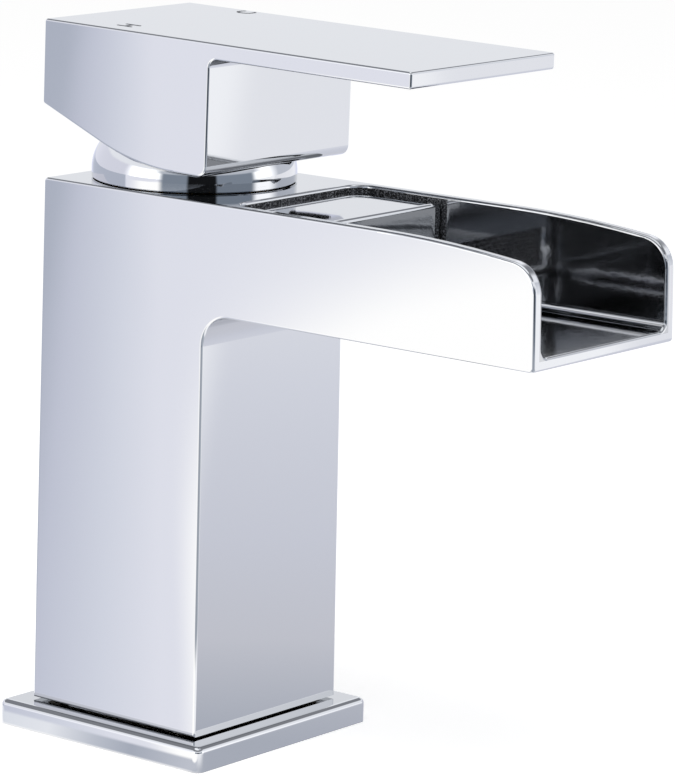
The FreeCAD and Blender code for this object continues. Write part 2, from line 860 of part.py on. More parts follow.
def make_holder():
    """Spindle holder: turns in the neck, carries the pivot pin and guides the carrier."""
    barrel = neck_bore / 2.0 - running_clearance
    flange = housing_bore / 2.0 - moving_clearance
    collar = barrel - stop_lug_reach
    collar_top = neck_top + stop_ring_height - 0.2
    corners = [
        (0.0, holder_z, 0.0),
        (flange, holder_z, -small_chamfer),
        (flange, holder_z + holder_flange, -small_chamfer),
        (barrel, holder_z + holder_flange, 0.0),
        (barrel, neck_top - moving_clearance, 0.0),
        (collar, neck_top - moving_clearance, 0.0),
        (collar, collar_top, -small_chamfer),
        (0.0, collar_top, 0.0),
    ]
    holder = turned(corners)
    holder = holder.fuse(sector(collar - 1.0, barrel, neck_top - 1.0, collar_top,
                                90.0, stop_tab_angle))
    for side in (-1, 1):
        inner = carrier_flat_width / 2.0 + moving_clearance
        ends = sorted([side * inner, side * (inner + 2.2)])
        length = carrier_diameter / 2.0 - 3.0
        low = carrier_z + carrier_height * 0.4 + moving_clearance
        holder = holder.fuse(block(ends[0], ends[1], -length, length, low, holder_z + 0.5))
    half_x = stem_side / 2.0 + moving_clearance
    swing = (collar_top - pivot_z) * math.tan(lean) + stem_boss / 2.0 / math.cos(lean)
    half_y = swing + moving_clearance
    slot = block(-half_x, half_x, -half_y, half_y, holder_z - 10.0, collar_top + 1.0)
    pin_bore = Part.makeCylinder(pivot_pin_diameter / 2.0 + 0.02, 2.0 * flange + 2.0,
                                 Vec(-flange - 1.0, 0, pivot_z), Vec(1, 0, 0))
    return whole(holder.cut(slot).cut(pin_bore))


def sector(inner, outer, low, high, middle_angle, width_angle):
    """Arc-shaped block between two radii."""
    ring = rod(2.0 * outer, low, high).cut(rod(2.0 * inner, low - 1.0, high + 1.0))
    reach = 2.0 * outer
    half = math.radians(width_angle / 2.0)
    middle = math.radians(middle_angle)
    corners = [Vec(0, 0, low - 1.0)]
    for angle in (middle - half, middle - half / 3.0, middle + half / 3.0, middle + half):
        corners.append(Vec(reach * math.cos(angle), reach * math.sin(angle), low - 1.0))
    wedge = Part.Face(Part.makePolygon(corners + corners[:1])).extrude(Vec(0, 0, high - low + 2.0))
    return ring.common(wedge)


def make_stop_ring():
    """Temperature stop: a ring on the neck whose lugs meet the holder's tab."""
    inner = neck_diameter / 2.0 - stop_ring_wall
    top = neck_top + stop_ring_height
    ring = rod(neck_diameter, neck_top, top).cut(rod(2.0 * inner, neck_top - 1.0, top + 1.0))
    lug_inner = neck_bore / 2.0 - stop_lug_reach + moving_clearance
    lug_start = swivel_half_range + stop_spare_angle + stop_tab_angle / 2.0
    lug_width = 20.0
    for side in (-1, 1):
        middle = 90.0 + side * (lug_start + lug_width / 2.0)
        ring = ring.fuse(sector(lug_inner, inner + 0.5, neck_top, top, middle, lug_width))
    return whole(ring)


def make_stem():
    """Lever stem: square top for the handle, a boss on the pin, and a ball below."""
    half = stem_side / 2.0
    stem = block(-half, half, -half, half, 0.0, stem_length)
    tip = [edge for edge in edges_where(stem, lambda p: abs(p.z - stem_length) < 1e-6)]
    stem = stem.makeChamfer(0.8, tip)
    boss = Part.makeCylinder(stem_boss / 2.0, stem_side, Vec(-half, 0, 0), Vec(1, 0, 0))
    stem = stem.fuse(boss)
    stem = stem.fuse(rod(lever_neck, -lever_arm, 0.0))
    stem = stem.fuse(Part.makeSphere(lever_ball / 2.0, Vec(0, 0, -lever_arm)))
    bore = Part.makeCylinder(pivot_pin_diameter / 2.0 + 0.05, stem_side + 2.0,
                             Vec(-half - 1.0, 0, 0), Vec(1, 0, 0))
    return lean_over(whole(stem.cut(bore)))


def make_pivot_pin():
    """Steel pin that the lever tilts on."""
    pin = Part.makeCylinder(pivot_pin_diameter / 2.0, pivot_pin_length,
                            Vec(-pivot_pin_length / 2.0, 0, pivot_z), Vec(1, 0, 0))
    return pin.makeChamfer(0.3, pin.Edges[:1] + pin.Edges[2:3])


# ---------------------------------------------------------------------------
# Retaining nut, dome cover and its ring
# ---------------------------------------------------------------------------

def make_nut():
    """Brass nut that clamps the cartridge's shoulder in the body."""
    bore = cartridge_diameter / 2.0 + 0.2
    thread = nut_thread_diameter / 2.0
    collar = nut_collar_diameter / 2.0
    neck = neck_diameter / 2.0 + 0.3
    groove = dome_ring_radius - dome_ring_cord / 2.0 - 0.02
    half_groove = dome_ring_cord / 2.0 + 0.1
    collar_top = shoulder_z + nut_flange
    corners = [
        (bore, thread_floor_z + 0.3, 0.0),
        (thread, thread_floor_z + 0.3, -small_chamfer),
        (thread, body_top + 0.3, 0.0),
        (collar, body_top + 0.3, 0.0),
        (collar, ring_z - half_groove, 0.0),
        (groove, ring_z - half_groove, 0.0),
        (groove, ring_z + half_groove, 0.0),
        (collar, ring_z + half_groove, 0.0),
        (collar, collar_top, 0.0),
        (neck, collar_top, 0.0),
        (neck, shoulder_z, 0.0),
        (bore, shoulder_z, 0.0),
    ]
    nut = turned(corners)
    return whole(nut.fuse(hexagon(nut_hex_flats, collar_top, nut_top).cut(
        rod(2.0 * neck, collar_top - 1.0, nut_top + 1.0))))


def hexagon(flats, low, high):
    """Upright hexagonal bar."""
    reach = flats / 2.0 / math.cos(math.radians(30))
    points = []
    for i in range(6):
        angle = math.radians(60 * i)
        points.append(Vec(reach * math.cos(angle), reach * math.sin(angle), low))
    return Part.Face(Part.makePolygon(points + points[:1])).extrude(Vec(0, 0, high - low))


def make_dome():
    """Chromed dome that covers the nut and the cartridge's neck."""
    outer = dome_diameter / 2.0
    inner = dome_bore_radius
    hole = dome_hole / 2.0
    inner_bevel = (dome_shoulder_round - dome_wall) * (2.0 - math.sqrt(2.0))
    corners = [
        (inner, dome_foot_z, 0.0),
        (outer, dome_foot_z, -small_chamfer),
        (outer, dome_top, dome_shoulder_round),
        (hole, dome_top, -small_chamfer),
        (hole, dome_top - dome_wall, 0.0),
        (inner, dome_top - dome_wall, -inner_bevel),
    ]
    return turned(corners)


def make_dome_ring():
    """Rubber ring of cut square section that grips the dome."""
    half = dome_ring_cord / 2.0
    corners = [
        (dome_ring_radius - half, ring_z - half, -small_chamfer),
        (dome_ring_radius + half, ring_z - half, -small_chamfer),
        (dome_ring_radius + half, ring_z + half, -small_chamfer),
        (dome_ring_radius - half, ring_z + half, -small_chamfer),
    ]
    return turned(corners)


# ---------------------------------------------------------------------------
# Handle, its screw and the plug over it
# ---------------------------------------------------------------------------

def handle_half_width(y, z):
    """Half width of the handle, which widens a little towards the blade's tip."""
    return handle_width / 2.0 - y * math.tan(math.radians(handle_flare))


def droop(shape):
    """Let the handle sink a little towards its tip, about the pivot."""
    shape.rotate(Vec(0, 0, pivot_z), Vec(1, 0, 0), handle_droop)
    return shape


def handle_blank():
    """Outer form of the handle: a block over the dome and a flat blade."""
    rear_z = handle_bottom + handle_rear_lift
    belly_y = handle_rear - handle_rear_lift / math.tan(math.radians(handle_rear_slope))
    blade_z = handle_top - handle_blade_thick
    corners = [
        (handle_rear, handle_top, handle_corner_round),
        (handle_rear, rear_z, handle_corner_round),
        (belly_y, handle_bottom, handle_belly_round),
        (-handle_block_front, handle_bottom, handle_chin_round),
        (-handle_block_front, blade_z, handle_inner_round),
        (-handle_blade_reach, blade_z, handle_corner_round),
        (-handle_blade_reach, handle_top, handle_corner_round),
    ]
    sides = tapered_block(handle_half_width, -everything / 2.0, everything / 2.0, 0.0, everything)
    blank = whole(slab(corners, handle_width).common(sides))

    def on_side(point):
        return abs(abs(point.x) - handle_half_width(point.y, point.z)) < 1e-4

    return round_edges(blank, edges_where(blank, on_side), handle_edge_round)


def handle_hollow():
    """Space under the block that clears the dome."""
    def half(y, z):
        return handle_half_width(handle_rear, z) - handle_side_wall

    roof = handle_top - handle_roof
    front = -handle_block_front + handle_front_wall
    rear = handle_rear - handle_rear_wall
    hollow = tapered_block(half, front, rear, body_top - 10.0, roof)
    uprights = [edge for edge in hollow.Edges
                if abs(edge.Vertexes[0].Z - edge.Vertexes[1].Z) > 1.0]
    hollow = round_edges(hollow, uprights, handle_cavity_round)
    top = edges_where(hollow, lambda p: abs(p.z - roof) < 1e-4)
    return round_edges(hollow, top, handle_cavity_round / 2.0)


def screw_axis(diameter, start, length):
    """Bar along the grub screw, from the stem's face towards the rear."""
    bar = Part.makeCylinder(diameter / 2.0, length,
                            Vec(0, stem_side / 2.0 + start, screw_height), Vec(0, 1, 0))
    return lean_over(bar)


def make_handle():
    """Zinc handle: thin walls, a hub for the stem and a boss for the screw."""
    blank = droop(handle_blank())
    hollow = droop(handle_hollow())
    handle = blank.cut(hollow)
    half = hub_side / 2.0
    wide = handle_width / 2.0
    hub = lean_over(block(-half, half, -half, half, hub_start, everything))
    rib = lean_over(block(-wide, wide, -hub_rib / 2.0, hub_rib / 2.0, hub_rib_start, everything))
    boss = screw_axis(screw_boss_diameter, 0.5, everything)
    core = hub.fuse(rib).fuse(boss).common(hollow)
    handle = handle.fuse(core)
    grip = stem_side / 2.0 + socket_clearance
    socket = lean_over(block(-grip, grip, -grip, grip, hub_start - 5.0, stem_length + 0.3))
    handle = handle.cut(socket)
    tapped = screw_diameter + 0.04
    handle = handle.cut(screw_axis(tapped, -1.0, screw_length + 3.0))
    handle = handle.cut(screw_axis(plug_diameter + 0.1, screw_length + 2.0, 60.0))
    return whole(handle)


def make_screw():
    """Grub screw that holds the handle on the stem, with its key socket."""
    screw = screw_axis(screw_diameter, socket_clearance / 2.0, screw_length)
    key = hexagon(screw_hex, 0.0, screw_hex_depth + 1.0)
    key.rotate(Vec(0, 0, 0), Vec(1, 0, 0), -90)
    deep = stem_side / 2.0 + socket_clearance / 2.0 + screw_length - screw_hex_depth
    key.translate(Vec(0, deep, screw_height))
    return whole(screw.cut(lean_over(key)))


def make_plug(blank):
    """Chromed plug in the screw's access hole, flush with the handle's rear face."""
    rear = handle_rear / math.cos(lean)
    bar = screw_axis(plug_diameter, rear - stem_side / 2.0 - plug_length + 3.0, 30.0)
    return whole(bar.common(blank))


# ---------------------------------------------------------------------------
# Build every node
# ---------------------------------------------------------------------------

os.makedirs("parts", exist_ok=True)

nodes = {
    "base_plate": make_base_plate(),
    "deck_gasket": deck_gasket_ring(0.0),
    "foot_gasket": make_foot_gasket(),
    "body": make_body(),
    "inlet_bushes": make_inlet_bushes(),
    "stud_bush": make_stud_bush(),
    "spout_insert": make_insert(),
    "spout_screen": make_screen(),
    "cartridge_base": make_cartridge_base(),
    "inlet_seals": make_inlet_seals(),
    "port_seals": make_port_seals(),
    "fixed_disc": make_fixed_disc(),
    "moving_disc": make_moving_disc(),
    "disc_carrier": make_carrier(),
    "cartridge_housing": make_housing(),
    "spindle_holder": make_holder(),
    "pivot_pin": make_pivot_pin(),
    "lever_stem": make_stem(),
    "stop_ring": make_stop_ring(),
    "cartridge_nut": make_nut(),
    "dome_cover": make_dome(),
    "dome_ring": make_dome_ring(),
    "handle": make_handle(),
    "handle_screw": make_screw(),
    "screw_plug": make_plug(droop(handle_blank())),
}

for name, shape in nodes.items():
    save(name, shape)

print("pivot height", round(pivot_z, 3), "disc travel", round(disc_travel, 3))
print("outlet drop ratio m/rad", round(disc_travel / 1000.0 / (2.0 * lean), 6))
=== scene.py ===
# %% [markdown]
# # A chrome waterfall basin tap
# The object is a basin mixer tap in mirror chrome: a square column, an open trough that the water
# falls from, a dome over the cartridge and a flat lever. The frame already holds every piece at
# its real size. This lesson gives each piece its finish, moulds the hood over the rear of the
# trough, swells the gasket under the column, weaves the screen in the spout and marks hot and
# cold on the lever. Chrome has almost no colour of its own, so most of the look comes from the
# studio that it reflects, which is built last.

# %% Load the frame
import math

import bmesh
import bpy
from mathutils import Matrix, Vector


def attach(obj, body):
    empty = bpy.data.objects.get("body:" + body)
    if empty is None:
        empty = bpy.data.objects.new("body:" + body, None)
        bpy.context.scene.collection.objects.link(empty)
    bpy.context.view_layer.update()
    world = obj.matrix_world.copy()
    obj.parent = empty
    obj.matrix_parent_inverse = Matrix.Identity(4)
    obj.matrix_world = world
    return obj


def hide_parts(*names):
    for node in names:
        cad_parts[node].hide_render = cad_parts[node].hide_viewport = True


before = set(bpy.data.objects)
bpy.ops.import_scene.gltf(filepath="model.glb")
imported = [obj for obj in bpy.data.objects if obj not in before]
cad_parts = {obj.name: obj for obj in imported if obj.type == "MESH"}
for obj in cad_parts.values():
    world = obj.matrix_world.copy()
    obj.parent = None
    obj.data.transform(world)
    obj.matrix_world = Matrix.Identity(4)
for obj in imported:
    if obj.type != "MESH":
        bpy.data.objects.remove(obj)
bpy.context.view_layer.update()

# %% [markdown]
# ## Adding an object
# Each new object is linked to the scene in the same way. Each new piece is drawn as a bmesh,
# which becomes a mesh when it is done.

# %% Helpers for new objects
def add_object(name, data):
    """A new object at the origin of the scene."""
    added = bpy.data.objects.new(name, data)
    bpy.context.scene.collection.objects.link(added)
    return added


def finished_mesh(name, shape):
    """The bmesh as a new mesh."""
    mesh = bpy.data.meshes.new(name)
    shape.to_mesh(mesh)
    shape.free()
    return mesh


print("helpers ready")

# %% [markdown]
# ## The camera
# The photograph was taken with a long lens from the front left, a little above the spout. Such a
# lens from nearly a metre keeps the column's edges almost parallel. The camera looks along a
# direction given by its azimuth and elevation, and rolls a little, because the picture was not
# quite level.

# %% Camera
LENS_MM = 205.25
AZIMUTH = math.radians(-51.7)
ELEVATION = math.radians(11.49)
ROLL = math.radians(1.57)
DISTANCE = 0.91054
AIM_SIDE = 0.03037
AIM_HEIGHT = 0.07223

level_right = Vector((math.cos(AZIMUTH), math.sin(AZIMUTH), 0))
towards_camera = Vector((math.sin(AZIMUTH) * math.cos(ELEVATION),
                         -math.cos(AZIMUTH) * math.cos(ELEVATION), math.sin(ELEVATION)))
level_up = towards_camera.cross(level_right)
right = level_right * math.cos(ROLL) + level_up * math.sin(ROLL)
up = level_up * math.cos(ROLL) - level_right * math.sin(ROLL)
aim = level_right * AIM_SIDE + Vector((0, 0, AIM_HEIGHT))
stand = aim + towards_camera * DISTANCE

camera_data = bpy.data.cameras.new("camera")
camera_data.lens = LENS_MM
camera_data.sensor_width = 36.0
camera_data.sensor_fit = "AUTO"
camera_data.clip_start = 0.01
camera = add_object("camera", camera_data)
turn = Matrix((right, up, towards_camera)).transposed().to_4x4()
camera.matrix_world = Matrix.Translation(stand) @ turn
bpy.context.scene.camera = camera
print("camera at", [round(c, 4) for c in stand])

# %% [markdown]
# ## Writing shaders as sums
# A shader graph is a lot of small arithmetic. It reads best when it is written as arithmetic, so
# one small class wraps a node's output and overloads the operators. Each operator adds the Math
# node that does the same thing. Every other node comes from one method that takes the node's
# type, its settings and its inputs.

# %% Sockets with operators
class Value:
    """An output socket that can be added, multiplied and compared."""

    def __init__(self, tree, socket):
        self.tree = tree
        self.socket = socket

    def math(self, operation, *others, clamp=False):
        return self.tree.node("ShaderNodeMath", {"operation": operation, "use_clamp": clamp},
                              self, *others)

    def __add__(self, other):
        return self.math("ADD", other)

    def __sub__(self, other):
        return self.math("SUBTRACT", other)

    def __mul__(self, other):
        return self.math("MULTIPLY", other)

    def __truediv__(self, other):
        return self.math("DIVIDE", other)

    def __rsub__(self, other):
        return self.tree.node("ShaderNodeMath", {"operation": "SUBTRACT"}, other, self)

    def __gt__(self, other):
        return self.math("GREATER_THAN", other)

    def __lt__(self, other):
        return self.math("LESS_THAN", other)

    def __abs__(self):
        return self.math("ABSOLUTE")

    __radd__ = __add__
    __rmul__ = __mul__

    def limit(self):
        """Kept between 0 and 1."""
        return self.math("MULTIPLY", 1.0, clamp=True)

    def above_zero(self):
        """Itself where it is positive, and 0 elsewhere."""
        return (self + abs(self)) * 0.5

    def ramp(self, low, high, kind="SMOOTHSTEP"):
        """0 at low, 1 at high, and a rise between them."""
        return self.tree.node("ShaderNodeMapRange", {"interpolation_type": kind},
                              self, low, high, 0.0, 1.0)


print("operators ready")

# %% [markdown]
# ## Filling a node tree
# A tree makes nodes, feeds their inputs with values or constants, and hands back the output.
# Mixing colours, noise and bump are needed so often that they have methods of their own.

# %% Trees of nodes
class Tree:
    """The node tree of a material or of the world, emptied and ready to fill."""

    def __init__(self, owner):
        owner.use_nodes = True
        self.nodes = owner.node_tree.nodes
        self.links = owner.node_tree.links
        self.nodes.clear()

    def feed(self, socket, value):
        """Link a value to a socket, or set the socket to a constant."""
        if isinstance(value, Value):
            self.links.new(value.socket, socket)
        elif value is not None:
            socket.default_value = value

    def node(self, kind, settings=None, *inputs, out=0, **named):
        """A new node with its settings, then its inputs by place and by name."""
        node = self.nodes.new(kind)
        for name, value in (settings or {}).items():
            setattr(node, name, value)
        for index, value in enumerate(inputs):
            self.feed(node.inputs[index], value)
        for name, value in named.items():
            self.feed(node.inputs[name.replace("_", " ")], value)
        return Value(self, node.outputs[out]) if node.outputs else None

    def split(self, vector):
        """The x, y and z of a vector."""
        node = self.nodes.new("ShaderNodeSeparateXYZ")
        self.links.new(vector.socket, node.inputs[0])
        return [Value(self, output) for output in node.outputs]

    def colour(self, mask, below, above):
        """A colour that goes from below to above as the mask goes from 0 to 1."""
        node = self.nodes.new("ShaderNodeMix")
        node.data_type = "RGBA"
        factor, first, second = node.inputs[0], node.inputs[6], node.inputs[7]
        self.feed(factor, mask)
        for socket, value in ((first, below), (second, above)):
            self.feed(socket, (*value, 1.0) if isinstance(value, tuple) else value)
        return Value(self, node.outputs[2])

    def noise(self, place, scale, detail, roughness):
        """Noise about 0.5 over the places given."""
        return self.node("ShaderNodeTexNoise", {}, place,
                         Scale=scale, Detail=detail, Roughness=roughness)

    def bump(self, height, strength, depth, normal=None):
        """A normal that leans as the height changes."""
        return self.node("ShaderNodeBump", {}, Height=height, Strength=strength,
                         Distance=depth, Normal=normal)


print("trees ready")

# %% [markdown]
# ## Mirror chrome
# Chromium reflects a little under two thirds of the light that meets it, slightly more of the
# blue. One reflection looks bright, because the studio is bright. Inside the trough the light
# bounces three or four times between the walls, and each bounce takes a third of it, which is why
# the inside of the spout looks almost black. A wide, faint bump bends long reflections, as buffed
# metal does, and a fine noise makes the shine vary by a hair.
#
# Some of a piece is not plated, or not buffed. Three masks say where: bare rough metal, the dark
# speckled skin of a casting, and plate that nobody buffed, which is duller and has a faint orange
# peel. Inside the hood the bare mask carries a near-black colour instead, which is painted shade.
# The noises are each given by their scale, detail and roughness.

# %% Chrome
CHROME = (0.62, 0.63, 0.645)
UNBUFFED_CHROME = tuple(0.8 * c for c in CHROME)
CAST_HOLLOW = (0.03, 0.03, 0.032)
CAST_GRAIN = (0.34, 0.345, 0.36)
BARE_BRASS = (0.30, 0.235, 0.13)
BARE_ZINC = (0.20, 0.205, 0.215)
# Painted shade: a near-black colour for the closed inside of the hood.
PAINTED_SHADE_BLACK = (0.02, 0.02, 0.02)
BARE_DEPTH = 0.35
PLATE_ROUGHNESS = 0.025
SHINE_SPREAD = 0.03
BARE_ROUGHNESS = 0.5
CAST_ROUGHNESS = 0.12
CAST_SPREAD = 0.3
UNBUFFED_ROUGHNESS = 0.03
WAVE_STRENGTH = 0.03
PEEL_STRENGTH = 0.014
PIT_STRENGTH = 0.9
BUMP_DEPTH = 0.001
PIT_DEPTH = 0.0003
WAVE_NOISE = (30.0, 1.0, 0.4)
SHINE_NOISE = (1400.0, 3.0, 0.6)
GRAIN_NOISE = (2600.0, 4.0, 0.7)
PEEL_NOISE = (420.0, 2.0, 0.5)
CAST_EDGES = (0.46, 0.64)
BARE_EDGES = (0.42, 0.60)


def chrome(name, places=None, bare_and_shade_colour=BARE_BRASS):
    """Chrome plate. places(x, y, z) gives the masks for bare metal (painted shade in the hood),
    cast and unbuffed metal.
    """
    material = bpy.data.materials.new(name)
    tree = Tree(material)
    place = tree.node("ShaderNodeTexCoord", out="Object")
    wave = tree.noise(place, *WAVE_NOISE)
    shine = tree.noise(place, *SHINE_NOISE)
    colour = (*CHROME, 1.0)
    rough = shine * SHINE_SPREAD + PLATE_ROUGHNESS
    normal = tree.bump(wave, WAVE_STRENGTH, BUMP_DEPTH)
    if places is not None:
        bare_and_shaded, cast, unbuffed = places(*tree.split(place))
        grain = tree.noise(place, *GRAIN_NOISE)
        plated = CHROME
        pitted = bare_and_shaded
        rough = rough + bare_and_shaded * BARE_ROUGHNESS
        if cast is not None:
            skin = tree.colour(grain.ramp(*CAST_EDGES), CAST_HOLLOW, CAST_GRAIN)
            plated = tree.colour(unbuffed, plated, UNBUFFED_CHROME)
            plated = tree.colour(cast, plated, skin)
            pitted = (bare_and_shaded + cast).limit()
            rough = (rough + cast * (grain * CAST_SPREAD + CAST_ROUGHNESS)
                     + unbuffed * UNBUFFED_ROUGHNESS)
            peel = tree.noise(place, *PEEL_NOISE)
            normal = tree.bump(peel, unbuffed * PEEL_STRENGTH, BUMP_DEPTH, normal)
        # For the hood this colour is painted shade. On the other pieces it is the colour of bare
        # metal.
        bare_and_shade_dark = tuple(BARE_DEPTH * c for c in bare_and_shade_colour)
        bare_and_shade_metal = tree.colour(grain.ramp(*BARE_EDGES), bare_and_shade_dark, bare_and_shade_colour)
        colour = tree.colour(bare_and_shaded, plated, bare_and_shade_metal)
        normal = tree.bump(grain, pitted * PIT_STRENGTH, PIT_DEPTH, normal)
    shader = tree.node("ShaderNodeBsdfPrincipled", {}, Metallic=1.0, Base_Color=colour,
                       Roughness=rough, Normal=normal)
    tree.node("ShaderNodeOutputMaterial", {}, shader)
    return material


print("chrome reflects", CHROME)

# %% [markdown]
# ## Where the plating stops
# Plating covers what a buyer sees. The casting stays as it was cast in the rear of the trough,
# where a buffing wheel can't reach, so the walls round the hood show a dark, speckled band. The
# front of the trough is plated but not buffed. The cavity in the foot, the cartridge's chamber,
# the base plate's underside and the insides of the handle and the dome stay bare. The inside of
# the hood is painted near black, as painted shade in its closed hollow. Each rule is a few
# comparisons on the place in metres, and gives the masks for bare, cast and unbuffed metal; the
# hood's bare mask is its painted shade.

# %% Plated and bare places
CAVITY_HALF_X = 0.0187
CAVITY_HALF_Y = 0.0185
CAVITY_TOP = 0.0461
CHAMBER_FLOOR = 0.0979
CHAMBER_TOP = 0.1145
CHAMBER_RADIUS = 0.0186
TROUGH_HALF = 0.0213
TROUGH_FLOOR = 0.0945
TROUGH_TOP = 0.1144
CAST_FRONT = -0.0497
CAST_REAR = -0.0262
PLATE_HOLE_HALF_X = 0.0204
PLATE_HOLE_HALF_Y = 0.0202
PLATE_UNDERSIDE = 0.00003
HANDLE_HALF = 0.0214
HANDLE_FRONT = -0.0213
HANDLE_REAR = 0.0206
HANDLE_FLOOR = 0.1206
HANDLE_TOP = 0.1452
HOOD_INSIDE_HALF = 0.0184
HOOD_INSIDE_FRONT = -0.0469
HOOD_INSIDE_TOP = 0.1119
DOME_ROUND_RADIUS = 0.012
DOME_ROUND_HEIGHT = 0.117
DOME_INSIDE_ROUND = 0.0086


def body_places(x, y, z):
    cavity = (abs(x) < CAVITY_HALF_X) * (abs(y) < CAVITY_HALF_Y) * (z < CAVITY_TOP)
    chamber = (z > CHAMBER_FLOOR) * (z < CHAMBER_TOP) * (x * x + y * y < CHAMBER_RADIUS ** 2)
    trough = (abs(x) < TROUGH_HALF) * (z > TROUGH_FLOOR) * (z < TROUGH_TOP)
    cast = trough * (y > CAST_FRONT) * (y < CAST_REAR)
    return (cavity + chamber).limit(), cast, trough * (y < CAST_FRONT)


def plate_places(x, y, z):
    hole = (abs(x) < PLATE_HOLE_HALF_X) * (abs(y) < PLATE_HOLE_HALF_Y)
    return ((z < PLATE_UNDERSIDE) + hole).limit(), None, None


def handle_places(x, y, z):
    across = (abs(x) < HANDLE_HALF) * (y > HANDLE_FRONT) * (y < HANDLE_REAR)
    return across * (z < HANDLE_TOP) * (z > HANDLE_FLOOR), None, None


# The inside of the hood is painted near black as shade, through the bare mask.
def hood_shade_places(x, y, z):
    shaded_inside = (abs(x) < HOOD_INSIDE_HALF) * (y > HOOD_INSIDE_FRONT) * (z < HOOD_INSIDE_TOP)
    return shaded_inside, None, None


def dome_places(x, y, z):
    outward = ((x * x + y * y).math("SQRT") - DOME_ROUND_RADIUS).above_zero()
    upward = (z - DOME_ROUND_HEIGHT).above_zero()
    return outward * outward + upward * upward < DOME_INSIDE_ROUND ** 2, None, None


print("cast band from", CAST_FRONT, "to", CAST_REAR)

# %% [markdown]
# ## Assigning a finish
# A CAD node keeps its shape and gets a better material in its slots.

# %% Give the chromed nodes their finish
def finish_nodes(material, *names):
    """Put one material on whole nodes."""
    for name in names:
        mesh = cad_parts[name].data
        mesh.materials.clear()
        mesh.materials.append(material)
        mesh.polygons.foreach_set("material_index", [0] * len(mesh.polygons))
    print(material.name, "on", *names)


finish_nodes(chrome("chrome_body", body_places), "body")
finish_nodes(chrome("chrome_plate", plate_places), "base_plate")
finish_nodes(chrome("chrome_handle", handle_places, BARE_ZINC), "handle")
# The hood's inside gets the near-black painted shade.
finish_nodes(chrome("chrome_insert_with_painted_shade", hood_shade_places, PAINTED_SHADE_BLACK), "spout_insert")
finish_nodes(chrome("chrome_dome", dome_places), "dome_cover")
finish_nodes(chrome("chrome_plug"), "screw_plug")

# %% [markdown]
# ## Plain metals, rubber, plastic and ceramic
# The inner pieces are plain. One function covers them: a colour that drifts between two tones, a
# roughness that drifts with it and a grain in the surface. Turned metal gets a finer grain than
# moulded plastic, and rubber gets a coarse one.

# %% Plain materials
DRIFT_NOISE = (220.0, 3.0, 0.55)
DRIFT_EDGES = (0.3, 0.7)
ROUGHNESS_DRIFT = 0.15
GRAIN_DEPTH = 0.0001
TURNED_GRAIN = 2500.0
RUBBER_GRAIN = 1200.0
LAPPED_GRAIN = 3000.0
MOULDED_GRAIN = 900.0


def plain(name, light, dark, roughness, metallic=0.0, grain_size=MOULDED_GRAIN, grain_height=0.2):
    """A material that drifts between two tones of one colour."""
    material = bpy.data.materials.new(name)
    tree = Tree(material)
    place = tree.node("ShaderNodeTexCoord", out="Object")
    drift = tree.noise(place, *DRIFT_NOISE)
    grain = tree.noise(place, grain_size, 3.0, 0.6)
    shader = tree.node("ShaderNodeBsdfPrincipled", {}, Metallic=metallic,
                       Base_Color=tree.colour(drift.ramp(*DRIFT_EDGES), dark, light),
                       Roughness=drift * ROUGHNESS_DRIFT + roughness,
                       Normal=tree.bump(grain, grain_height, GRAIN_DEPTH))
    tree.node("ShaderNodeOutputMaterial", {}, shader)
    return material


finish_nodes(plain("turned_brass", (0.74, 0.53, 0.24), (0.58, 0.39, 0.16), 0.18,
                   metallic=1.0, grain_size=TURNED_GRAIN),
             "inlet_bushes", "stud_bush", "lever_stem", "cartridge_nut")
finish_nodes(plain("turned_steel", (0.58, 0.58, 0.58), (0.44, 0.44, 0.45), 0.2,
                   metallic=1.0, grain_size=TURNED_GRAIN),
             "pivot_pin", "handle_screw")
finish_nodes(plain("black_rubber", (0.035, 0.035, 0.035), (0.018, 0.018, 0.018), 0.55,
                   grain_size=RUBBER_GRAIN, grain_height=0.5),
             "deck_gasket", "foot_gasket", "inlet_seals", "port_seals", "dome_ring")
finish_nodes(plain("moulded_white", (0.82, 0.81, 0.77), (0.76, 0.75, 0.71), 0.35),
             "cartridge_base", "cartridge_housing", "spindle_holder", "disc_carrier")
finish_nodes(plain("moulded_red", (0.55, 0.035, 0.02), (0.45, 0.025, 0.015), 0.35), "stop_ring")
finish_nodes(plain("lapped_ceramic", (0.86, 0.85, 0.82), (0.82, 0.81, 0.78), 0.08,
                   grain_size=LAPPED_GRAIN, grain_height=0.05),
             "fixed_disc", "moving_disc")

# %% [markdown]
# ## The hood over the rear of the trough
# The hood is a chromed moulding with soft edges. It fills the width of the trough, and its top
# stands a little below the rim. Its front has a wide window for the water.

# %% Sizes of the hood
HOOD_LOW = Vector((-0.0196, -0.0482, 0.09515))
HOOD_HIGH = Vector((0.0196, -0.0273, 0.1136))
REAR_ROUND = 0.0037
REAR_STEPS = 8
EDGE_ROUND = 0.0009
EDGE_STEPS = 5
HOOD_WALL = 0.0015
WINDOW_LOW = Vector((-0.01698, 0.0, 0.09635))
WINDOW_HIGH = Vector((0.01698, 0.0, 0.10455))
SHARP_ANGLE = math.radians(40.0)
NEAR = 1e-5


def edges_where(shape, test):
    """The edges whose both ends pass the test."""
    return [edge for edge in shape.edges if all(test(vertex.co) for vertex in edge.verts)]


def is_upright(edge):
    """Whether the edge's ends stand at different heights."""
    first, second = edge.verts
    return abs(first.co.z - second.co.z) > NEAR


def in_window(face):
    """Whether the face is in the front, between the window's corners."""
    middle = face.calc_center_median()
    return (face.normal.y < -0.9 and WINDOW_LOW.x < middle.x < WINDOW_HIGH.x
            and WINDOW_LOW.z < middle.z < WINDOW_HIGH.z)


print("hood:", [round(c, 4) for c in HOOD_HIGH - HOOD_LOW])

# %% [markdown]
# The hood starts as a box without a bottom. Bevels round the two rear uprights and then the edges
# of the top. Four cuts mark the window in the front, the face between them goes, and Solidify
# gives the walls their thickness. The last modifier keeps the flat faces flat in the mirror.

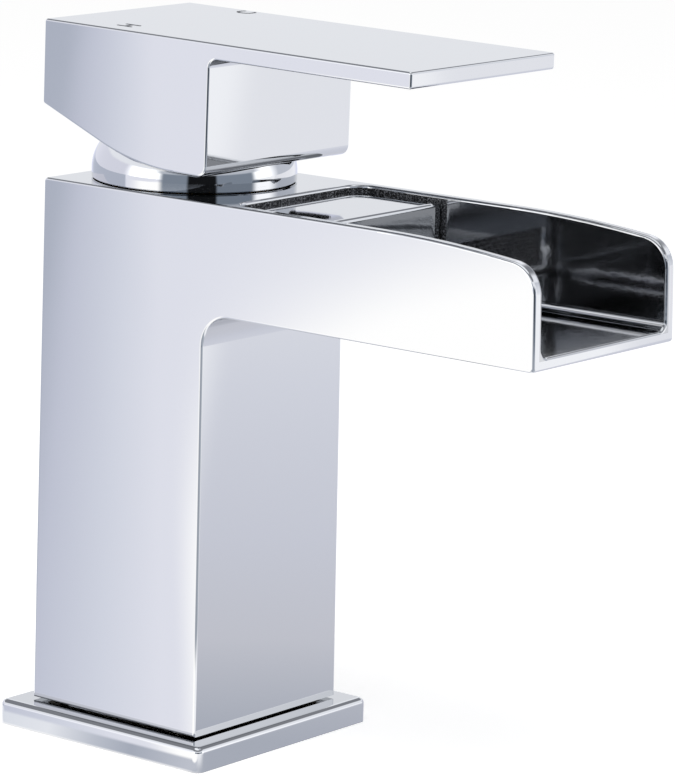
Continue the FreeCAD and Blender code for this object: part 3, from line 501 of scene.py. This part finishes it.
# %% Make the hood
shape = bmesh.new()
box_size = Matrix.Diagonal((*(HOOD_HIGH - HOOD_LOW), 1.0))
bmesh.ops.create_cube(shape, size=1.0,
                      matrix=Matrix.Translation((HOOD_LOW + HOOD_HIGH) / 2) @ box_size)
bottom = [face for face in shape.faces if face.normal.z < -0.5]
bmesh.ops.delete(shape, geom=bottom, context="FACES_ONLY")
uprights = [edge for edge in edges_where(shape, lambda co: co.y > HOOD_HIGH.y - NEAR)
            if is_upright(edge)]
bmesh.ops.bevel(shape, geom=uprights, offset=REAR_ROUND, segments=REAR_STEPS, profile=0.5,
                affect="EDGES")
top_edges = [edge for edge in edges_where(shape, lambda co: co.z > HOOD_HIGH.z - NEAR)
             if len(edge.link_faces) == 2]
bmesh.ops.bevel(shape, geom=top_edges, offset=EDGE_ROUND, segments=EDGE_STEPS, profile=0.5,
                affect="EDGES")
for corner, normal in ((WINDOW_LOW, (1, 0, 0)), (WINDOW_HIGH, (1, 0, 0)),
                       (WINDOW_LOW, (0, 0, 1)), (WINDOW_HIGH, (0, 0, 1))):
    bmesh.ops.bisect_plane(shape, geom=[*shape.verts, *shape.edges, *shape.faces],
                           plane_co=corner, plane_no=normal)
window = [face for face in shape.faces if in_window(face)]
bmesh.ops.delete(shape, geom=window, context="FACES_ONLY")
hood_mesh = finished_mesh("moulded_hood", shape)
hood_mesh.shade_smooth()
hood_mesh.set_sharp_from_angle(angle=SHARP_ANGLE)
# The hood takes the insert's chrome, with the painted shade inside.
hood_mesh.materials.append(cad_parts["spout_insert"].data.materials[0])
hood = add_object("moulded_hood", hood_mesh)
walls = hood.modifiers.new("walls", "SOLIDIFY")
walls.thickness = HOOD_WALL
walls.use_even_offset = True
flat = hood.modifiers.new("flat_faces", "WEIGHTED_NORMAL")
flat.weight = 100
flat.keep_sharp = True
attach(hood, "tap_body")
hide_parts("spout_insert")
print("hood made:", len(hood_mesh.polygons), "faces")

# %% [markdown]
# ## The gasket under the column
# The fixing stud pulls the column down on its thin gasket, and the rubber swells out until it is
# level with the column's faces. That leaves one fine black line above the base plate. The swollen
# gasket is a square sheet with a square hole, extruded to its thickness.

# %% Swell the gasket
GASKET_LOW = 0.004
GASKET_HIGH = 0.0044
GASKET_HALF = 0.0224
GASKET_HOLE_HALF = 0.0188

shape = bmesh.new()
bmesh.ops.create_grid(shape, x_segments=1, y_segments=1, size=GASKET_HALF,
                      matrix=Matrix.Translation((0.0, 0.0, GASKET_LOW)))
bmesh.ops.inset_individual(shape, faces=list(shape.faces), thickness=GASKET_HALF - GASKET_HOLE_HALF)
hole = [face for face in shape.faces if face.calc_center_median().to_2d().length < NEAR]
bmesh.ops.delete(shape, geom=hole, context="FACES_ONLY")
raised = bmesh.ops.extrude_face_region(shape, geom=list(shape.faces), use_keep_orig=True)["geom"]
bmesh.ops.translate(shape, verts=[part for part in raised if isinstance(part, bmesh.types.BMVert)],
                    vec=(0.0, 0.0, GASKET_HIGH - GASKET_LOW))
bmesh.ops.recalc_face_normals(shape, faces=list(shape.faces))
gasket_mesh = finished_mesh("swollen_gasket", shape)
gasket_mesh.materials.append(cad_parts["foot_gasket"].data.materials[0])
gasket = add_object("swollen_gasket", gasket_mesh)
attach(gasket, "tap_body")
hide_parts("foot_gasket")
print("gasket swollen:", len(gasket_mesh.polygons), "faces")

# %% [markdown]
# ## The woven screen
# Behind the hood's window stands a net of round steel wires. Each wire rises over one crossing
# wire and dips under the next. It is a hexagonal ring that is extruded along its run, step by
# step, and each step moves it forward and a little up or down.

# %% Weave the screen
WIRE_RADIUS = 0.00015
WIRE_SIDES = 6
PITCH = 0.0009
STEPS = 4
SCREEN_MIDDLE = Vector((0.0, -0.04636, 0.10045))
SCREEN_HALF_WIDTH = 0.0178
SCREEN_HALF_HEIGHT = 0.0049


def weave_wire(shape, start, along, half_turns, phase):
    """One wire with a crossing at each half turn, rising and dipping along Y."""
    turn = along.to_track_quat("Z", "Y").to_matrix().to_4x4()
    ring = bmesh.ops.create_circle(shape, segments=WIRE_SIDES, radius=WIRE_RADIUS,
                                   matrix=Matrix.Translation(start) @ turn)["verts"]
    edges = list({edge for vertex in ring for edge in vertex.link_edges})
    height = 0.0
    for step in range(1, half_turns * STEPS + 1):
        out = bmesh.ops.extrude_edge_only(shape, edges=edges)["geom"]
        ring = [part for part in out if isinstance(part, bmesh.types.BMVert)]
        edges = [part for part in out if isinstance(part, bmesh.types.BMEdge)
                 and all(vertex in ring for vertex in part.verts)]
        swing = phase * WIRE_RADIUS * math.sin(math.pi * step / STEPS)
        rise = Vector((0.0, swing - height, 0.0))
        height = swing
        bmesh.ops.translate(shape, verts=ring, vec=along * (PITCH / STEPS) + rise)


shape = bmesh.new()
columns = int(SCREEN_HALF_WIDTH / PITCH)
rows = int(SCREEN_HALF_HEIGHT / PITCH)
for i in range(-columns, columns + 1):
    start = SCREEN_MIDDLE + Vector((i * PITCH, 0.0, -(rows + 0.5) * PITCH))
    weave_wire(shape, start, Vector((0.0, 0.0, 1.0)), 2 * rows + 1, (-1) ** i)
for i in range(-rows, rows + 1):
    start = SCREEN_MIDDLE + Vector((-(columns + 0.5) * PITCH, 0.0, i * PITCH))
    weave_wire(shape, start, Vector((1.0, 0.0, 0.0)), 2 * columns + 1, (-1) ** (i + 1))
net_mesh = finished_mesh("woven_screen", shape)
net_mesh.polygons.foreach_set("use_smooth", [True] * len(net_mesh.polygons))
net_mesh.materials.append(plain("net_steel", (0.34, 0.34, 0.35), (0.24, 0.24, 0.25), 0.25,
                                metallic=1.0))
screen = add_object("woven_screen", net_mesh)
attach(screen, "tap_body")
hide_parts("spout_screen")
print("screen woven:", len(net_mesh.polygons), "faces")

# %% [markdown]
# ## Hot and cold marks
# Two small letters stand near the rear of the lever's top, hot on the user's left and cold on the
# right. Each is a text turned into a flat mesh a hair above the metal. The lever droops a little
# towards its tip, so the marks lean with it about its pivot.

# %% Mark hot and cold
PIVOT = Vector((0.0, 0.0, 0.1179))
DROOP = math.radians(0.8)
MARK_SIZE = 0.0056
MARK_HEIGHT = 0.14718
MARK_THICKNESS = 0.00001
HOT_PLACE = (-0.0165, 0.0025)
COLD_PLACE = (0.0195, 0.0022)


def make_mark(letter, name, x, y, material):
    """One letter lying on the lever's top."""
    text = bpy.data.curves.new(name + "_text", "FONT")
    text.body = letter
    text.size = MARK_SIZE
    text.align_x = "CENTER"
    text.extrude = MARK_THICKNESS
    writer = add_object(name + "_text", text)
    bpy.context.view_layer.update()
    mesh = bpy.data.meshes.new_from_object(writer)
    bpy.data.objects.remove(writer)
    lean = Matrix.Translation(PIVOT) @ Matrix.Rotation(DROOP, 4, "X") @ Matrix.Translation(-PIVOT)
    mesh.transform(lean @ Matrix.Translation((x, y, MARK_HEIGHT)))
    mesh.materials.clear()
    mesh.materials.append(material)
    mark = add_object(name, mesh)
    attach(mark, "lever")
    print(name, "has", len(mesh.polygons), "faces")


etched = plain("etched_mark", (0.16, 0.165, 0.18), (0.10, 0.105, 0.115), 0.45, metallic=1.0)
make_mark("H", "mark_hot", *HOT_PLACE, etched)
make_mark("C", "mark_cold", *COLD_PLACE, etched)

# %% [markdown]
# ## Light in the studio
# The chrome shows what stands round it. `light_for` turns a colour seen in the picture into the
# light that chrome must meet to show it, by undoing the display's curve and dividing by the
# chrome's reflectance. `shades` lays such colours one after another.
#
# The camera looks at two upright sides of the tap. The left one mirrors the floor far to the
# left, and the front one mirrors the floor to the right, in the opposite direction. `across`
# measures along that line and `beyond` measures at right angles to it, away from the camera, both
# in metres. `around` gives the direction in degrees, counted from the camera's side.

# %% Directions and shades
DISPLAY_CURVE = 2.2


def light_for(red, green, blue):
    """The light that chrome must meet to show this colour."""
    return tuple((c / 255.0) ** DISPLAY_CURVE / f for c, f in zip((red, green, blue), CHROME))


CAMERA_SIDE = math.atan2(towards_camera.y, towards_camera.x)
mirror_line = Vector((-towards_camera.x, towards_camera.y)).normalized()


def around(x, y):
    """Degrees round the object from the camera's side, rising to the camera's right."""
    side = x * level_right.x + y * level_right.y
    near = x * math.cos(CAMERA_SIDE) + y * math.sin(CAMERA_SIDE)
    return side.math("ARCTAN2", near) * math.degrees(1.0)


def shades(tree, value, *stops):
    """Colours that follow one another at the places given, with even changes between them."""
    colour = light_for(*stops[0][1])
    for (low, _), (high, tone) in zip(stops, stops[1:]):
        colour = tree.colour(value.ramp(low, high, "LINEAR"), colour, light_for(*tone))
    return colour


print("camera stands at", round(math.degrees(CAMERA_SIDE), 1), "degrees on the floor")

# %% [markdown]
# ## The tent
# Each upright side has a floor of its own. The tent joins the two in a ring: the left side's
# floor, then slate, then a dark gap at the camera, which the dome mirrors as its black band, then
# slate again, the right side's floor, and a pale part behind. The walls use the same ring.

# %% The two sides and the tent
LEFT_SPREAD = 0.065
WHITE_START = 0.028
WHITE_SOFTNESS = 0.008
FOOT_SHADE = (-0.036, -0.052)
SLATE_FROM = (-40.0, -32.0)
DARK_FROM = (-8.0, -4.0)
DARK_UNTIL = (25.0, 29.0)
SLATE_UNTIL = (68.0, 78.0)
REAR_ON_RIGHT = (148.0, 165.0)
REAR_ON_LEFT = (-148.0, -165.0)
SLATE = light_for(118, 127, 140)
DARK = light_for(26, 27, 29)


def left_side(tree, across, beyond):
    """What the left side shows: lavender far back, white nearer the camera."""
    away = abs(across)
    forward = away * LEFT_SPREAD - beyond
    colour = shades(tree, forward, (-0.012, (168, 174, 189)), (-0.003, (188, 192, 208)),
                    (0.012, (205, 209, 222)), (0.025, (219, 221, 232)))
    softness = away * away * away * away + WHITE_SOFTNESS
    white = ((forward - WHITE_START) / softness).ramp(0.0, 1.0)
    return tree.colour(white, colour, light_for(255, 255, 255))


def right_side(tree, across, beyond):
    """What the front side shows: a pale grey that darkens near the foot, as painted shade of the
    tap on the floor.
    """
    # Painted shadow: the grey gets darker as across falls towards the tap, where the tap shades the
    # floor.
    colour = shades(tree, across, (0.02, (163, 168, 180)), (0.10, (188, 190, 200)),
                    (0.20, (194, 197, 209)), (0.40, (204, 207, 218)), (0.70, (221, 223, 230)))
    return tree.colour(beyond.ramp(*FOOT_SHADE), colour, light_for(236, 238, 243))


def tent(tree, degrees, left, right, rear, slate, dark):
    """The tent's colour in each direction round the object."""
    colour = tree.colour(degrees.ramp(*SLATE_FROM), left, slate)
    colour = tree.colour(degrees.ramp(*DARK_FROM), colour, dark)
    colour = tree.colour(degrees.ramp(*DARK_UNTIL), colour, slate)
    colour = tree.colour(degrees.ramp(*SLATE_UNTIL), colour, right)
    colour = tree.colour(degrees.ramp(*REAR_ON_RIGHT), colour, rear)
    return tree.colour(degrees.ramp(*REAR_ON_LEFT), colour, rear)


print("dark gap from", DARK_FROM[0], "to", DARK_UNTIL[1], "degrees")

# %% [markdown]
# ## The floor
# The floor is one large square. Its colours depend only on the place on it, so this cell measures
# `across`, `beyond`, the distance from the tap and the direction.

# %% Lay the floor
FLOOR_HALF = 6.0

shape = bmesh.new()
bmesh.ops.create_grid(shape, x_segments=1, y_segments=1, size=FLOOR_HALF)
floor_mesh = finished_mesh("floor", shape)
floor = add_object("floor", floor_mesh)

floor_material = bpy.data.materials.new("studio_floor")
floor_mesh.materials.append(floor_material)
tree = Tree(floor_material)
x, y, z = tree.split(tree.node("ShaderNodeTexCoord", out="Object"))
across = x * mirror_line.x + y * mirror_line.y
beyond = y * mirror_line.x - x * mirror_line.y
radius = (across * across + beyond * beyond).math("SQRT")
degrees = around(x, y)
print("floor laid,", 2 * FLOOR_HALF, "m wide")

# %% [markdown]
# ## What the chrome sees on the floor
# Far from the foot lies the tent's ring. The slate and the dark lie on a table, and beyond its
# edge the floor is lighter. Close to the foot lies what the base plate's left side mirrors: there
# `rising` grows with the height on that side. Its foot is white, its middle runs through five
# shades from one end to the other, and its top shows the left side's floor again.

# %% Colours of the floor
TABLE_EDGE = (0.735, 0.755)
NEAR_FOOT = (0.10, 0.14)
RISE_SLANT = 0.79
WHITE_BELOW = (0.0368, 0.0346)
LEFT_ABOVE = (0.0430, 0.0455)
FRONT_FROM = (0.0, 10.0)

left = left_side(tree, across, beyond)
front = right_side(tree, across, beyond)

past_table = radius.ramp(*TABLE_EDGE)
slate = tree.colour(past_table, light_for(165, 171, 181), SLATE)
dark = tree.colour(past_table, light_for(140, 147, 158), DARK)
far = tent(tree, degrees, left, front, light_for(190, 194, 212), slate, dark)

rising = abs(across) - beyond * RISE_SLANT
near_left = shades(tree, beyond, (-0.036, (186, 190, 201)), (-0.024, (162, 168, 182)),
                   (-0.016, (184, 189, 201)), (-0.006, (224, 227, 234)), (0.004, (215, 219, 228)))
near_left = tree.colour(rising.ramp(*WHITE_BELOW), near_left, light_for(248, 248, 250))
near_left = tree.colour(rising.ramp(*LEFT_ABOVE), near_left, left)
near = tree.colour(degrees.ramp(*FRONT_FROM), near_left, front)

seen = tree.colour(radius.ramp(*NEAR_FOOT), near, far)
print("floor colours take", len(tree.nodes), "nodes")

# %% [markdown]
# ## What the camera sees on the floor
# A ray from the camera finds plain white paper, which keeps the soft shadow where the base plate
# stands. A ray that comes from the chrome finds the colours above.

# %% Paper and tent
PAPER = (0.9, 0.9, 0.9, 1.0)
PAPER_GLOW = 0.55
WHITE = (1.0, 1.0, 1.0, 1.0)

in_chrome = tree.node("ShaderNodeLightPath", out="Is Glossy Ray")
lit = tree.node("ShaderNodeBsdfDiffuse", {}, PAPER)
glow = tree.node("ShaderNodeEmission", {}, WHITE, PAPER_GLOW)
paper = tree.node("ShaderNodeAddShader", {}, lit, glow)
tent_light = tree.node("ShaderNodeEmission", {}, seen, 1.0)
tree.node("ShaderNodeOutputMaterial", {},
          tree.node("ShaderNodeMixShader", {}, in_chrome, paper, tent_light))
print("floor made:", len(tree.nodes), "nodes")

# %% [markdown]
# ## The world
# Above the floor the chrome sees the tent's walls, which are white on both sides of the camera.
# `z` is the sine of the height above the horizon. The walls are dark at the camera only close to
# the horizon, where the dome's black band needs them. Higher up they are pale there too, because
# the tap's level faces mirror them when it is seen from behind. Then a grey gap parts the walls
# from the roof. It draws the thin grey lines along the rounded edges. The camera itself sees
# plain white.

# %% World
LEFT_WALL_FROM = (-84.0, -70.0)
RIGHT_WALL_FROM = (92.0, 112.0)
LEFT_WHITE = (2.1, 2.1, 2.1)
RIGHT_WHITE = (1.9, 1.9, 1.92)
CAMERA_PART_MIDDLE = 20.0
CAMERA_PART_HALF = (68.0, 52.0)
PALE_FROM = (0.20, 0.27)
PALER_FROM = (0.31, 0.38)
GAP_FROM = (0.5, 0.6)
ROOF_FROM = (0.82, 0.9)
GAP = (0.30, 0.31, 0.34)
ROOF = (1.35, 1.38, 1.42)
FILL = 0.45

world = bpy.data.worlds.new("tent")
bpy.context.scene.world = world
tree = Tree(world)
x, y, z = tree.split(tree.node("ShaderNodeTexCoord", out="Generated"))
degrees = around(x, y)
left_wall = tree.colour(degrees.ramp(*LEFT_WALL_FROM), light_for(205, 207, 220), LEFT_WHITE)
right_wall = tree.colour(degrees.ramp(*RIGHT_WALL_FROM), RIGHT_WHITE, light_for(180, 185, 196))
low_walls = tent(tree, degrees, left_wall, right_wall, light_for(199, 202, 208), SLATE, DARK)
at_camera = abs(degrees - CAMERA_PART_MIDDLE).ramp(*CAMERA_PART_HALF)
high_walls = tree.colour(at_camera, low_walls, light_for(176, 181, 191))
high_walls = tree.colour(z.ramp(*PALER_FROM), high_walls, light_for(222, 225, 232))
sky = tree.colour(z.ramp(*PALE_FROM), low_walls, high_walls)
sky = tree.colour(z.ramp(*GAP_FROM), sky, GAP)
sky = tree.colour(z.ramp(*ROOF_FROM), sky, ROOF)

for_chrome = tree.node("ShaderNodeBackground", {}, sky, 1.0)
for_others = tree.node("ShaderNodeBackground", {}, WHITE, FILL)
for_camera = tree.node("ShaderNodeBackground", {}, WHITE, 1.0)
in_chrome = tree.node("ShaderNodeLightPath", out="Is Glossy Ray")
to_camera = tree.node("ShaderNodeLightPath", out="Is Camera Ray")
light = tree.node("ShaderNodeMixShader", {}, in_chrome, for_others, for_chrome)
light = tree.node("ShaderNodeMixShader", {}, to_camera, light, for_camera)
tree.node("ShaderNodeOutputWorld", {}, light)
print("world ready:", len(tree.nodes), "nodes")

# %% [markdown]
# ## The lamp
# One broad, weak lamp above the tap gives the pieces that aren't chromed some shape, and makes
# the soft shadow on the floor. The chrome doesn't mirror it.

# %% Lamp
LAMP_POWER = 3.0
LAMP_SIZE = 0.6
LAMP_PLACE = Vector((-0.3, -0.2, 0.9))

lamp_data = bpy.data.lights.new("soft_lamp", "AREA")
lamp_data.energy = LAMP_POWER
lamp_data.size = LAMP_SIZE
lamp = add_object("soft_lamp", lamp_data)
lamp.location = LAMP_PLACE
lamp.rotation_euler = (aim - LAMP_PLACE).to_track_quat("-Z", "Y").to_euler()
lamp.visible_glossy = False
print("lamp at", [round(c, 2) for c in LAMP_PLACE])

bpy.context.scene.view_settings.view_transform = "Standard"
